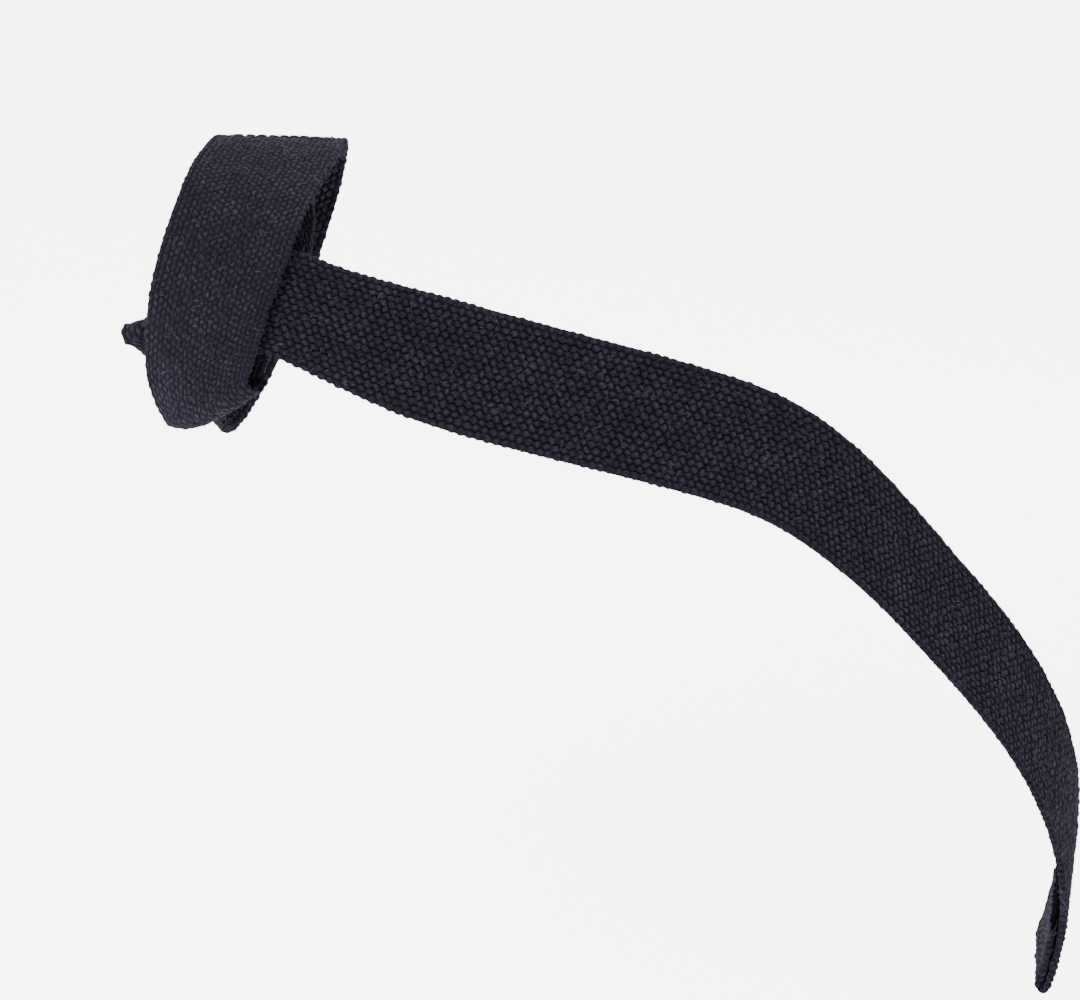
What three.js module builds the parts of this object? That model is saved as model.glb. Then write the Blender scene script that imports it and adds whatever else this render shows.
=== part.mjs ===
// A lifting strap as it is worn: one length of cotton webbing. Its sewn eye lies over the front
// of the wrist, the strap runs once round, turns over on a diagonal fold and leaves through the
// eye as a free end that lies out flat and then hangs. Millimetres, +Z up, origin at the
// middle of the hollow for the wrist, the hand towards +X and the palm towards -Y.

import * as THREE from 'three';

// Webbing
const WIDTH = 38;
const THICK = 2.5;
const PLY_GAP = 0.55;
const SELVAGE_ROUND = 0.9;
const SELVAGE_THIN = 0.54;

// Wrist that the hollow fits: an oval that grows towards the hand
const WRIST_WIDTH = 75.5;
const WRIST_DEPTH = 52;
const WIDTH_FLARE = 0.88;
const DEPTH_FLARE = 0.2;
const WRIST_SLOPE = 23.5;
const PALM_TIP = 38;

// Free end, from where it leaves the wrist to its cut end
const TAIL_LENGTH = 374;
const HEM_LENGTH = 30;
const TAIL_SLOPE = 23;
const TAIL_VEER = -3;
const TAIL_LEAN = 66;
const ARCH_FADE = 30;

// Fineness
const STEP = 5;
const FOLD_STEPS = 8;
const ACROSS_STEPS = 6;

// Each row is a line across the webbing, in the order of its length. turn is its place round
// the wrist in degrees, from the middle of the palm side towards the thumb. along is its place
// towards the hand in widths of webbing. ply is its layer above the skin. swing is how far the
// line turns away from the wrist's length, in degrees, and span is its length in widths.
const EYE_INSIDE = [
  { turn: 86, along: 0.12, ply: 1, swing: -12, span: 1 },
  { turn: 64, along: 0.04, ply: 1, swing: -7, span: 1 },
  { turn: 42, along: 0.01, ply: 1, swing: -2, span: 0.98 },
  { turn: 26, along: 0.05, ply: 1.1, swing: 1, span: 0.8 },
  { turn: 11, along: 0.32, ply: 1.6, swing: 3, span: 0.42 },
  { turn: -5, along: 0.4, ply: 2, swing: 5, span: 0.37 },
  { turn: -20, along: 0.33, ply: 2, swing: 10, span: 0.46 },
  { turn: -35, along: 0.24, ply: 2, swing: 19, span: 0.64 },
  { turn: -48, along: 0.19, ply: 2, swing: 32, span: 0.92 },
  { turn: -59, along: 0.25, ply: 2.1, swing: 46, span: 0.98 },
  { turn: -70.5, along: 0.37, ply: 2.2, swing: 63, span: 1 },
];

const EYE_OUTSIDE_AND_LOOP = [
  { turn: -70.5, along: 0.37, ply: 4.6, swing: 63, span: 1 },
  { turn: -59, along: 0.23, ply: 4.4, swing: 46, span: 0.96 },
  { turn: -47, along: 0.14, ply: 4.2, swing: 34, span: 0.92 },
  { turn: -33, along: 0.06, ply: 4.1, swing: 23, span: 0.93 },
  { turn: -18, along: 0.01, ply: 4.1, swing: 15, span: 0.95 },
  { turn: -2, along: -0.02, ply: 4, swing: 9, span: 0.95 },
  { turn: 16, along: -0.02, ply: 3.3, swing: 4, span: 0.97 },
  { turn: 34, along: 0.01, ply: 2.4, swing: 0, span: 1 },
  { turn: 64, along: 0.07, ply: 2, swing: -7, span: 1 },
  { turn: 92, along: 0.14, ply: 2, swing: -10, span: 1 },
  { turn: 118, along: 0.18, ply: 1.2, swing: -8, span: 1 },
  { turn: 150, along: 0.2, ply: 1, swing: -4, span: 1 },
  { turn: 190, along: 0.2, ply: 1, swing: 4, span: 1 },
  { turn: 225, along: 0.15, ply: 1, swing: 12, span: 1 },
  { turn: 253, along: 0.07, ply: 1, swing: 22, span: 1 },
  { turn: 277, along: -0.03, ply: 1, swing: 36, span: 1.02 },
  { turn: 297, along: -0.11, ply: 1, swing: 52, span: 1.12 },
  { turn: 316, along: -0.13, ply: 1, swing: 66, span: 1.28 },
];

const TAIL_UNDER_EYE = [
  { turn: 316, along: -0.13, ply: 3, swing: 66, span: 1.28 },
  { turn: 326.5, along: 0.14, ply: 3, swing: 79, span: 0.93 },
  { turn: 337.5, along: 0.38, ply: 3.05, swing: 87, span: 0.85 },
  { turn: 340.5, along: 0.64, ply: 3.35, swing: 90, span: 0.83 },
];

// Free end: at each share of its length, how far it has drooped over its flat side, twisted
// about its length and swayed edgewise since it left the wrist, in degrees.
const TAIL = [
  { share: 0, droop: 0, twist: 0, sway: 0 },
  { share: 0.19, droop: 0, twist: -4, sway: 8 },
  { share: 0.355, droop: 4, twist: -10, sway: 6.5 },
  { share: 0.45, droop: 18, twist: -20, sway: -8 },
  { share: 0.545, droop: 25, twist: -28, sway: -14 },
  { share: 0.635, droop: 25, twist: -30, sway: -17 },
  { share: 0.73, droop: 36, twist: -33, sway: -17 },
  { share: 0.82, droop: 50, twist: -37, sway: -19 },
  { share: 0.9, droop: 62, twist: -42, sway: -23 },
  { share: 1, droop: 76, twist: -44, sway: -40 },
];

const WEBBING_FINISH = { color: 0x2b2934, roughness: 0.95, metalness: 0 };

const rad = THREE.MathUtils.degToRad;
const PITCH = THICK + PLY_GAP;

// Wrist's own directions: towards the hand, out of the palm and towards the thumb
const HAND = new THREE.Vector3(Math.cos(rad(WRIST_SLOPE)), 0, -Math.sin(rad(WRIST_SLOPE)));
const PALM = new THREE.Vector3(0, -1, 0).applyAxisAngle(HAND, -rad(PALM_TIP)).normalize();
const THUMB = new THREE.Vector3().crossVectors(PALM, HAND).normalize();

function blend(parts) {
  const sum = new THREE.Vector3();
  for (const [vector, weight] of parts) sum.addScaledVector(vector, weight);
  return sum;
}

// A point on the wrist, ply layers of webbing above the skin
function onWrist(turn, along, ply) {
  const side = Math.sin(rad(turn));
  const front = Math.cos(rad(turn));
  const halfWidth = (WRIST_WIDTH + WIDTH_FLARE * along) / 2;
  const halfDepth = (WRIST_DEPTH + DEPTH_FLARE * along) / 2;
  const skin = blend([[HAND, along], [THUMB, halfWidth * side], [PALM, halfDepth * front]]);
  const out = blend([[THUMB, side / halfWidth], [PALM, front / halfDepth]]).normalize();
  const flare = (WIDTH_FLARE * side * side + DEPTH_FLARE * front * front) / 2;
  out.addScaledVector(HAND, -flare).normalize();
  return skin.addScaledVector(out, (ply - 0.5) * PITCH);
}

// Places across the webbing, from one selvage to the other
function acrossPlaces() {
  const inner = 1 - (2 * SELVAGE_ROUND) / WIDTH;
  const places = [-1];
  for (let i = 0; i <= ACROSS_STEPS; i += 1) places.push(inner * ((2 * i) / ACROSS_STEPS - 1));
  places.push(1);
  return places;
}

const ACROSS = acrossPlaces();

function lineLength(points) {
  let length = 0;
  for (let i = 1; i < points.length; i += 1) length += points[i].distanceTo(points[i - 1]);
  return length;
}

// One line across the webbing where it lies on the wrist, made again until its length is true
function wristLine({ turn, along, ply, swing, span }) {
  const goal = span * WIDTH;
  let reach = goal / 2;
  let roundWise = reach;
  let points = [];
  for (let pass = 0; pass < 3; pass += 1) {
    const degrees = THREE.MathUtils.radToDeg(roundWise * Math.sin(rad(swing))) / (WRIST_WIDTH / 2);
    points = ACROSS.map((q) => onWrist(
      turn + q * degrees,
      along * WIDTH + q * reach * Math.cos(rad(swing)),
      ply,
    ));
    const scale = goal / lineLength(points);
    reach *= scale;
    roundWise *= scale;
  }
  return points;
}

// A smooth value between the rows of a table, with the slopes of the neighbouring rows
function smoothValue(rows, name, index, share) {
  const at = (i) => rows[THREE.MathUtils.clamp(i, 0, rows.length - 1)][name];
  const [before, from, to, after] = [at(index - 1), at(index), at(index + 1), at(index + 2)];
  const slopeFrom = (to - before) / 2;
  const slopeTo = (after - from) / 2;
  const s2 = share * share;
  const s3 = s2 * share;
  return from * (2 * s3 - 3 * s2 + 1) + slopeFrom * (s3 - 2 * s2 + share)
    + to * (3 * s2 - 2 * s3) + slopeTo * (s3 - s2);
}

function smoothRow(rows, index, share) {
  const row = {};
  for (const name of Object.keys(rows[0])) row[name] = smoothValue(rows, name, index, share);
  return row;
}

function middleOf(line) {
  return line[(line.length - 1) / 2];
}

function chordOf(line) {
  return line[line.length - 1].clone().sub(line[0]).normalize();
}

// Lines of a stretch that lies on the wrist
function wristStretch(rows) {
  const lines = [wristLine(rows[0])];
  for (let i = 0; i < rows.length - 1; i += 1) {
    const gap = middleOf(wristLine(rows[i])).distanceTo(middleOf(wristLine(rows[i + 1])));
    const steps = Math.max(1, Math.round(gap / STEP));
    for (let k = 1; k <= steps; k += 1) lines.push(wristLine(smoothRow(rows, i, k / steps)));
  }
  return lines;
}

// Half turn of a fold from one line to the line that lies over or under it
function halfTurn(lines, to) {
  const from = lines[lines.length - 1];
  const ahead = middleOf(from).clone().sub(middleOf(lines[lines.length - 2]));
  const chord = chordOf(from);
  const turned = [];
  for (let k = 1; k < FOLD_STEPS; k += 1) {
    const angle = (Math.PI * k) / FOLD_STEPS;
    turned.push(from.map((start, j) => {
      const centre = start.clone().add(to[j]).multiplyScalar(0.5);
      const arm = start.clone().sub(centre);
      const forward = arm.clone().cross(chord).setLength(arm.length());
      if (forward.dot(ahead) < 0) forward.negate();
      return centre.addScaledVector(arm, Math.cos(angle)).addScaledVector(forward, Math.sin(angle));
    }));
  }
  return turned;
}

// A row of the free end's table, smooth between the shares that the table names
function tailRow(share) {
  let index = 0;
  while (index < TAIL.length - 2 && TAIL[index + 1].share < share) index += 1;
  const reach = TAIL[index + 1].share - TAIL[index].share;
  return smoothRow(TAIL, index, (share - TAIL[index].share) / reach);
}

// Free end: its direction is turned a little at each step by the droop, twist and sway
function tailStretch(start) {
  const count = Math.round(TAIL_LENGTH / STEP);
  const step = TAIL_LENGTH / count;
  const run = new THREE.Vector3(1, 0, 0).applyAxisAngle(new THREE.Vector3(0, 1, 0), rad(TAIL_SLOPE));
  run.applyAxisAngle(new THREE.Vector3(0, 0, 1), rad(TAIL_VEER));
  const across = new THREE.Vector3(0, 0, 1).cross(run).normalize().applyAxisAngle(run, rad(TAIL_LEAN));
  const point = middleOf(start).clone();
  const startOut = run.clone().cross(across);
  const startShape = start.map((p) => {
    const offset = p.clone().sub(point);
    return [offset.dot(across), offset.dot(startOut)];
  });
  const lines = [];
  let last = tailRow(0);
  for (let k = 1; k <= count; k += 1) {
    const row = tailRow(k / count);
    run.applyAxisAngle(across, rad(row.droop - last.droop));
    across.applyAxisAngle(run, rad(row.twist - last.twist));
    const out = run.clone().cross(across);
    run.applyAxisAngle(out, rad(row.sway - last.sway));
    across.applyAxisAngle(out, rad(row.sway - last.sway));
    last = row;
    point.addScaledVector(run, step);
    const fade = Math.exp(-(((k * step) / ARCH_FADE) ** 2));
    lines.push(startShape.map(([side, rise], j) => point.clone()
      .addScaledVector(across, THREE.MathUtils.lerp((ACROSS[j] * WIDTH) / 2, side, fade))
      .addScaledVector(out, rise * fade)));
  }
  return lines;
}

// Hem of the free end: the last stretch again, one layer below and run backwards
function hemStretch(lines) {
  const count = Math.round(HEM_LENGTH / STEP);
  const back = [];
  for (let i = lines.length - 1; i >= lines.length - 1 - count; i -= 1) {
    const run = middleOf(lines[i]).clone().sub(middleOf(lines[i - 1])).normalize();
    const under = chordOf(lines[i]).cross(run).normalize();
    back.push(lines[i].map((p) => p.clone().addScaledVector(under, PITCH)));
  }
  return back;
}

function strapLines() {
  const inside = wristStretch(EYE_INSIDE);
  const loop = wristStretch(EYE_OUTSIDE_AND_LOOP);
  const under = wristStretch(TAIL_UNDER_EYE);
  const tail = tailStretch(under[under.length - 1]);
  const hem = hemStretch(tail);
  return [
    ...inside,
    ...halfTurn(inside, loop[0]),
    ...loop,
    ...halfTurn(loop, under[0]),
    ...under,
    ...tail,
    ...halfTurn(tail, hem[0]),
    ...hem,
  ];
}

// Closed solid around the lines: both faces, both selvages and the two cut ends
function webbingGeometry(lines) {
  const columns = ACROSS.length;
  const ring = 2 * columns;
  const positions = [];
  const normal = (i, j) => {
    const ahead = lines[Math.min(i + 1, lines.length - 1)][j];
    const behind = lines[Math.max(i - 1, 0)][j];
    const chord = lines[i][Math.min(j + 1, columns - 1)].clone().sub(lines[i][Math.max(j - 1, 0)]);
    return ahead.clone().sub(behind).cross(chord).normalize();
  };
  lines.forEach((line, i) => {
    const face = (j, side) => {
      const edge = j === 0 || j === columns - 1;
      const half = THICK / 2 - (edge ? SELVAGE_THIN : 0);
      positions.push(...line[j].clone().addScaledVector(normal(i, j), side * half).toArray());
    };
    for (let j = 0; j < columns; j += 1) face(j, 1);
    for (let j = columns - 1; j >= 0; j -= 1) face(j, -1);
  });
  const indices = [];
  const quad = (a, b, c, d) => indices.push(a, b, c, a, c, d);
  for (let i = 0; i < lines.length - 1; i += 1) {
    for (let k = 0; k < ring; k += 1) {
      const next = (k + 1) % ring;
      quad(i * ring + k, (i + 1) * ring + k, (i + 1) * ring + next, i * ring + next);
    }
  }
  const last = (lines.length - 1) * ring;
  for (let j = 0; j < columns - 1; j += 1) {
    const under = ring - 1 - j;
    quad(j, j + 1, under - 1, under);
    quad(last + j, last + under, last + under - 1, last + j + 1);
  }
  const geometry = new THREE.BufferGeometry();
  geometry.setAttribute('position', new THREE.Float32BufferAttribute(positions, 3));
  geometry.setIndex(indices);
  geometry.computeVertexNormals();
  return geometry;
}

function webbingStrap() {
  const material = new THREE.MeshStandardMaterial(WEBBING_FINISH);
  const mesh = new THREE.Mesh(webbingGeometry(strapLines()), material);
  mesh.name = 'webbing_strap';
  return mesh;
}

const strap = new THREE.Group();
strap.add(webbingStrap());

export default strap;
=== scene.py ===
# %% [markdown]
# # A cotton lifting strap as it is worn
# The object is one length of thick cotton webbing. Its sewn eye lies over the front of the
# wrist, the webbing runs once round, turns over on a diagonal fold, and leaves through the eye
# as a free end. The CAD model gives its place and its main shape. These cells give it the
# weave, the edges, the thread, the fluff and the light.

# %% Load the frame
import math
import random
from functools import partial

import bmesh
import bpy
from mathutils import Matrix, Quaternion, Vector


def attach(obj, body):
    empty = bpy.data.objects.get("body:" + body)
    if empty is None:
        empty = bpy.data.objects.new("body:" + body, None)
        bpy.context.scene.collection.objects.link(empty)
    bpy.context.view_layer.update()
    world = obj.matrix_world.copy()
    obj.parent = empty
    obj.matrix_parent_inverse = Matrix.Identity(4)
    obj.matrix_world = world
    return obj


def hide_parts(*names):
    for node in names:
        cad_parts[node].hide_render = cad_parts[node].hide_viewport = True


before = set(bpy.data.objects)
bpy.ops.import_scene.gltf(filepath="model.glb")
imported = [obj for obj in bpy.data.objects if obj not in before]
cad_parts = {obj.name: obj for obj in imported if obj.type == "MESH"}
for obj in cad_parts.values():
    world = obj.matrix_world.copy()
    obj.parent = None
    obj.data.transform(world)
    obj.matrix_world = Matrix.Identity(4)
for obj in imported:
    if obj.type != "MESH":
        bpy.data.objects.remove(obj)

MM = 0.001
rad = math.radians
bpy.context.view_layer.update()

# %% [markdown]
# ## The camera
# A long lens far away keeps the flat run of the free end from swelling towards the viewer. The
# object is seen from 20 degrees above, straight from the front. The point that the camera
# looks at is worked out from where the middle of the hollow should fall in a picture of 1080
# by 1000 pixels, at 3.3 pixels to a millimetre.

# %% Camera at the picture's angle
PICTURE = (1080, 1000)
PIXELS_PER_MM = 3.3
WRIST_PIXEL = (225.5, 265.5)
ELEVATION = rad(20)
LENS, SENSOR = 85, 36
CLIP_END = 20

view_right = Vector((1, 0, 0))
view_up = Vector((0, math.sin(ELEVATION), math.cos(ELEVATION)))
view_back = Vector((0, -math.cos(ELEVATION), math.sin(ELEVATION)))
distance = LENS / SENSOR * PICTURE[0] / PIXELS_PER_MM
pixels_right = PICTURE[0] / 2 - WRIST_PIXEL[0]
pixels_up = WRIST_PIXEL[1] - PICTURE[1] / 2
aim = (view_right * pixels_right + view_up * pixels_up) / PIXELS_PER_MM

camera_data = bpy.data.cameras.new("camera")
camera_data.lens = LENS
camera_data.sensor_width = SENSOR
camera_data.clip_end = CLIP_END
camera = bpy.data.objects.new("camera", camera_data)
camera.location = (aim + view_back * distance) * MM
camera.rotation_euler = (math.pi / 2 - ELEVATION, 0, 0)
bpy.context.collection.objects.link(camera)
bpy.context.scene.camera = camera
print("camera is", round(distance), "mm from the strap's plane")

# %% [markdown]
# ## The route of the webbing
# Webbing bends along its length but hardly stretches, so its shape is best told as a row of
# nearly straight lines across it. Each line is placed round the oval hollow that a wrist goes
# in: how far round, how far along, on which layer, how far it swings out of square, and how
# long it is. Short tables name the lines that matter, and smooth curves fill in between. The
# same tables made the CAD solid, so the dressed strap lies exactly where the solid is.

# %% Sizes of the webbing and the hollow, mm
WIDTH = 38
THICK = 2.5
PLY_GAP = 0.55
PITCH = THICK + PLY_GAP
WRIST_WIDTH = 75.5
WRIST_DEPTH = 52
WIDTH_FLARE = 0.88
DEPTH_FLARE = 0.2
WRIST_SLOPE = 23.5
PALM_TIP = 38

HAND = Vector((math.cos(rad(WRIST_SLOPE)), 0, -math.sin(rad(WRIST_SLOPE))))
PALM = Quaternion(HAND, -rad(PALM_TIP)) @ Vector((0, -1, 0))
THUMB = PALM.cross(HAND).normalized()
print("front of the hollow faces", [round(c, 3) for c in PALM])
print("its upper side faces", [round(c, 3) for c in THUMB])

# %% How fine the lines are
STEP = 2.5
FOLD_STEPS = 12
ACROSS_STEPS = 18
ACROSS = [2 * i / ACROSS_STEPS - 1 for i in range(ACROSS_STEPS + 1)]
print("a line has", len(ACROSS), "points from", ACROSS[0], "at one edge to", ACROSS[-1])

# %% Lines of the route: turn, along, ply, swing, span
EYE_INSIDE = [
    (86, 0.12, 1, -12, 1),
    (64, 0.04, 1, -7, 1),
    (42, 0.01, 1, -2, 0.98),
    (26, 0.05, 1.1, 1, 0.8),
    (11, 0.32, 1.6, 3, 0.42),
    (-5, 0.4, 2, 5, 0.37),
    (-20, 0.33, 2, 10, 0.46),
    (-35, 0.24, 2, 19, 0.64),
    (-48, 0.19, 2, 32, 0.92),
    (-59, 0.25, 2.1, 46, 0.98),
    (-70.5, 0.37, 2.2, 63, 1),
]
EYE_OUTSIDE_AND_LOOP = [
    (-70.5, 0.37, 4.6, 63, 1),
    (-59, 0.23, 4.4, 46, 0.96),
    (-47, 0.14, 4.2, 34, 0.92),
    (-33, 0.06, 4.1, 23, 0.93),
    (-18, 0.01, 4.1, 15, 0.95),
    (-2, -0.02, 4, 9, 0.95),
    (16, -0.02, 3.3, 4, 0.97),
    (34, 0.01, 2.4, 0, 1),
    (64, 0.07, 2, -7, 1),
    (92, 0.14, 2, -10, 1),
    (118, 0.18, 1.2, -8, 1),
    (150, 0.2, 1, -4, 1),
    (190, 0.2, 1, 4, 1),
    (225, 0.15, 1, 12, 1),
    (253, 0.07, 1, 22, 1),
    (277, -0.03, 1, 36, 1.02),
    (297, -0.11, 1, 52, 1.12),
    (316, -0.13, 1, 66, 1.28),
]
TAIL_UNDER_EYE = [
    (316, -0.13, 3, 66, 1.28),
    (326.5, 0.14, 3, 79, 0.93),
    (337.5, 0.38, 3.05, 87, 0.85),
    (340.5, 0.64, 3.35, 90, 0.83),
]
print("rows:", len(EYE_INSIDE), len(EYE_OUTSIDE_AND_LOOP), len(TAIL_UNDER_EYE))

# %% Free end: share of its length, droop, twist and sway in degrees
TAIL_LENGTH = 374
HEM_LENGTH = 30
TAIL_SLOPE = 23
TAIL_VEER = -3
TAIL_LEAN = 66
ARCH_FADE = 30
TAIL = [
    (0, 0, 0, 0),
    (0.19, 0, -4, 8),
    (0.355, 4, -10, 6.5),
    (0.45, 18, -20, -8),
    (0.545, 25, -28, -14),
    (0.635, 25, -30, -17),
    (0.73, 36, -33, -17),
    (0.82, 50, -37, -19),
    (0.9, 62, -42, -23),
    (1, 76, -44, -40),
]
print("the free end is", TAIL_LENGTH, "mm long and droops", TAIL[-1][1], "degrees in all")


# %% A point on the wrist
def on_wrist(turn, along, ply):
    side, front = math.sin(rad(turn)), math.cos(rad(turn))
    half_width = (WRIST_WIDTH + WIDTH_FLARE * along) / 2
    half_depth = (WRIST_DEPTH + DEPTH_FLARE * along) / 2
    skin = HAND * along + THUMB * (half_width * side) + PALM * (half_depth * front)
    out = (THUMB * (side / half_width) + PALM * (front / half_depth)).normalized()
    flare = (WIDTH_FLARE * side * side + DEPTH_FLARE * front * front) / 2
    out = (out - HAND * flare).normalized()
    return skin + out * ((ply - 0.5) * PITCH)


print("first layer, front of the hollow:", [round(c, 1) for c in on_wrist(0, 0, 1)], "mm")

# %% A line across the webbing, on the wrist
FIT_ROUNDS = 3


def line_length(points):
    return sum((b - a).length for a, b in zip(points, points[1:]))


def wrist_line(row):
    """Points from one edge to the other, bent round the wrist and fitted to their length."""
    turn, along, ply, swing, span = row
    goal = span * WIDTH
    reach = round_wise = goal / 2
    for _ in range(FIT_ROUNDS):
        degrees = math.degrees(round_wise * math.sin(rad(swing))) / (WRIST_WIDTH / 2)
        hand_wise = reach * math.cos(rad(swing))
        points = [on_wrist(turn + q * degrees, along * WIDTH + q * hand_wise, ply) for q in ACROSS]
        scale = goal / line_length(points)
        reach *= scale
        round_wise *= scale
    return points


print("the eye's first line is", round(line_length(wrist_line(EYE_INSIDE[0])), 2), "mm long")


# %% Smooth values between the rows of a table
def smooth_row(rows, index, share):
    """The row a share of the way on from a row, on a smooth curve through its neighbours."""
    def at(i):
        return rows[min(max(i, 0), len(rows) - 1)]
    s2, s3 = share ** 2, share ** 3
    return tuple(
        a * (2 * s3 - 3 * s2 + 1) + (b - before) / 2 * (s3 - 2 * s2 + share)
        + b * (3 * s2 - 2 * s3) + (after - a) / 2 * (s3 - s2)
        for before, a, b, after in zip(at(index - 1), at(index), at(index + 1), at(index + 2)))


def middle(line):
    return line[len(line) // 2]


def wrist_stretch(rows):
    """Lines of a stretch on the wrist, and the number of the line that each row made."""
    lines, made = [wrist_line(rows[0])], [0]
    for i in range(len(rows) - 1):
        gap = (middle(wrist_line(rows[i])) - middle(wrist_line(rows[i + 1]))).length
        steps = max(1, round(gap / STEP))
        lines += [wrist_line(smooth_row(rows, i, k / steps)) for k in range(1, steps + 1)]
        made.append(len(lines) - 1)
    return lines, made


print("half way between the first two rows:", smooth_row(EYE_INSIDE, 0, 0.5))


# %% The half turn of a fold
def half_turn(lines, to):
    """Lines that swing half round, from the last line so far to the first line of the next layer."""
    start = lines[-1]
    ahead = middle(start) - middle(lines[-2])
    chord = (start[-1] - start[0]).normalized()
    turned = []
    for k in range(1, FOLD_STEPS):
        angle = math.pi * k / FOLD_STEPS
        line = []
        for a, b in zip(start, to):
            centre = (a + b) / 2
            arm = a - centre
            forward = arm.cross(chord).normalized() * arm.length
            if forward.dot(ahead) < 0:
                forward.negate()
            line.append(centre + arm * math.cos(angle) + forward * math.sin(angle))
        turned.append(line)
    return turned


print("a fold takes", FOLD_STEPS - 1, "lines of its own")


# %% The free end and its hem
def tail_row(share):
    index = 0
    while index < len(TAIL) - 2 and TAIL[index + 1][0] < share:
        index += 1
    reach = TAIL[index + 1][0] - TAIL[index][0]
    return smooth_row(TAIL, index, (share - TAIL[index][0]) / reach)


def tail_stretch(start):
    """Walks out from the last line on the wrist. Its arch fades as the webbing leaves the wrist."""
    count = round(TAIL_LENGTH / STEP)
    step = TAIL_LENGTH / count
    run = Quaternion((0, 1, 0), rad(TAIL_SLOPE)) @ Vector((1, 0, 0))
    run = Quaternion((0, 0, 1), rad(TAIL_VEER)) @ run
    across = Quaternion(run, rad(TAIL_LEAN)) @ Vector((0, 0, 1)).cross(run).normalized()
    point = middle(start).copy()
    out = run.cross(across)
    shape = [((p - point).dot(across), (p - point).dot(out)) for p in start]
    lines, last = [], tail_row(0)
    for k in range(1, count + 1):
        row = tail_row(k / count)
        _, droop, twist, sway = (a - b for a, b in zip(row, last))
        last = row
        run = Quaternion(across, rad(droop)) @ run
        across = Quaternion(run, rad(twist)) @ across
        out = run.cross(across)
        edgewise = Quaternion(out, rad(sway))
        run = (edgewise @ run).normalized()
        across = (edgewise @ across).normalized()
        point = point + run * step
        fade = math.exp(-(k * step / ARCH_FADE) ** 2)
        line = []
        for q, (side, rise) in zip(ACROSS, shape):
            flat = q * WIDTH / 2 * (1 - fade)
            line.append(point + across * (flat + side * fade) + out * (rise * fade))
        lines.append(line)
    return lines


def hem_stretch(lines):
    """Goes back under the free end, one layer below it."""
    count = round(HEM_LENGTH / STEP)
    hem = []
    for i in range(len(lines) - 1, len(lines) - 2 - count, -1):
        run = (middle(lines[i]) - middle(lines[i - 1])).normalized()
        under = (lines[i][-1] - lines[i][0]).cross(run).normalized()
        hem.append([p + under * PITCH for p in lines[i]])
    return hem


print("half way along, the free end droops", round(tail_row(0.5)[1], 1), "degrees")

# %% All the lines in the order of the webbing's length
inside, _ = wrist_stretch(EYE_INSIDE)
loop, loop_rows = wrist_stretch(EYE_OUTSIDE_AND_LOOP)
under_eye, _ = wrist_stretch(TAIL_UNDER_EYE)
tail = tail_stretch(under_eye[-1])
hem = hem_stretch(tail)
route = inside + half_turn(inside, loop[0])
loop_start = len(route)
route += loop + half_turn(loop, under_eye[0]) + under_eye + tail
tail_end = len(route) - 1
route += half_turn(tail, hem[0]) + hem

places = [0.0]
for a, b in zip(route, route[1:]):
    places.append(places[-1] + (middle(b) - middle(a)).length)
LENGTH = places[-1]
print(len(route), "lines; the webbing is", round(LENGTH), "mm long as modelled")

# %% [markdown]
# ## The middle surface that everything follows
# Ribs, edge loops and stitches all have to follow the webbing through its folds. So the lines
# first become one thin sheet with a map: u runs along the webbing and v across it. Geometry
# Nodes can then ask that sheet "where is this place, and which way is out?" for any u and v.

# %% A sheet with a map and two directions in it
COLUMNS = len(ACROSS)


def sheet_quads():
    quads = []
    for i in range(len(route) - 1):
        for j in range(COLUMNS - 1):
            near, far = i * COLUMNS + j, (i + 1) * COLUMNS + j
            quads.append((near, near + 1, far + 1, far))
    return quads


def guide_mesh():
    mesh = bpy.data.meshes.new("guide")
    mesh.from_pydata([p * MM for line in route for p in line], [], sheet_quads())
    uv = mesh.uv_layers.new(name="cloth")
    for corner in mesh.loops:
        i, j = divmod(corner.vertex_index, COLUMNS)
        uv.data[corner.index].uv = (places[i] / LENGTH, j / (COLUMNS - 1))
    outward = mesh.attributes.new("outward", "FLOAT_VECTOR", "POINT")
    sideways = mesh.attributes.new("sideways", "FLOAT_VECTOR", "POINT")
    for i in range(len(route)):
        for j in range(COLUMNS):
            ahead = route[min(i + 1, len(route) - 1)][j] - route[max(i - 1, 0)][j]
            chord = route[i][min(j + 1, COLUMNS - 1)] - route[i][max(j - 1, 0)]
            outward.data[i * COLUMNS + j].vector = ahead.cross(chord).normalized()
            sideways.data[i * COLUMNS + j].vector = chord.normalized()
    return mesh


guide = guide_mesh()
print("guide sheet:", len(guide.polygons), "quads")

# %% [markdown]
# ## Dyed cotton yarn
# The webbing is spun cotton, dyed near black with a little violet in it. Cotton yarn is matt:
# light sinks in between the fibres, so roughness is near 1 and there is no clear highlight.
# What does show is a soft pale bloom where fine fluff catches the light, which is what sheen
# is for. The colour has painted shade deep in the weave and a painted highlight on the raised
# yarn, and the sheen and shine are dimmed in the hollows as painted shade. So the material
# reads how far each place stands out, which the meshes carry as "lift".


# %% Colour and node helpers
def linear(hex_colour):
    """An sRGB hex value as linear red, green, blue and alpha."""
    channels = [int(hex_colour[i:i + 2], 16) / 255 for i in (1, 3, 5)]
    return [c / 12.92 if c <= 0.04045 else ((c + 0.055) / 1.055) ** 2.4 for c in channels] + [1.0]


def add(tree, kind, settings=None, **inputs):
    """One node with its settings and its links or values. In an input's name, _ is a space."""
    node = tree.nodes.new(kind)
    for name, value in (settings or {}).items():
        setattr(node, name, value)
    for name, value in inputs.items():
        key = int(name[1:]) if name[0] == "i" and name[1:].isdigit() else name.replace("_", " ")
        if isinstance(value, bpy.types.NodeSocket):
            tree.links.new(value, node.inputs[key])
        else:
            node.inputs[key].default_value = value
    return node


def maths(tree, operation, a, b=0.0, c=0.0):
    """One sum, in a material's tree or in one of Geometry Nodes."""
    return add(tree, "ShaderNodeMath", {"operation": operation}, i0=a, i1=b, i2=c).outputs[0]


print("mid grey is", round(linear("#808080")[0], 3), "of full light")

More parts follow.
